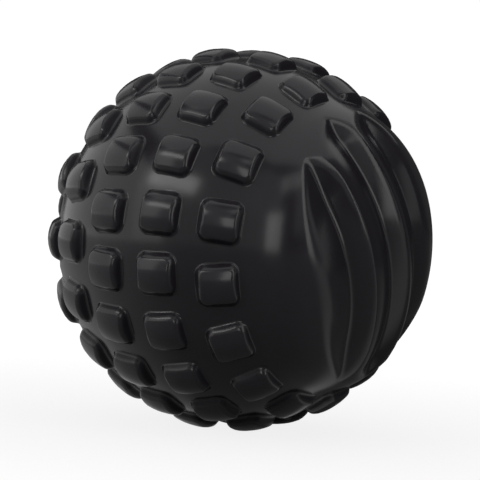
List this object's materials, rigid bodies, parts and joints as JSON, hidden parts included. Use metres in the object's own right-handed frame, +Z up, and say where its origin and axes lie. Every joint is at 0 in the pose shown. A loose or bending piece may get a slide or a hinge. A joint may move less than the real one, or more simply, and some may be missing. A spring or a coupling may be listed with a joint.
{
  "type": "massage ball roller",
  "caption": "Round hand-sized massage ball with rings of square rubber knobs, a wave-ribbed cap at one pole and a hollow screwed core, for rolling over sore muscles.",
  "frame": {"origin": "centre of the ball", "axes": "+X along the polar axis, out of the ribbed cap; +Z up as the ball lies in the picture, with the gap between two knobs of the widest ring straight below; +Y completes the right-handed frame"},
  "size_m": [0.127, 0.1266, 0.1266],
  "materials": {
    "cover_rubber": "satin moulded black rubber",
    "core_plastic": "fine matt moulded plastic",
    "screw_steel": "bright plated steel"
  },
  "bodies": {
    "root": {"cover_half_near": "cover_rubber", "cover_half_far": "cover_rubber", "core_shell_near": "core_plastic", "core_shell_far": "core_plastic", "core_screw_1": "screw_steel", "core_screw_2": "screw_steel", "core_screw_3": "screw_steel", "core_screw_4": "screw_steel"}
  },
  "joints": []
}
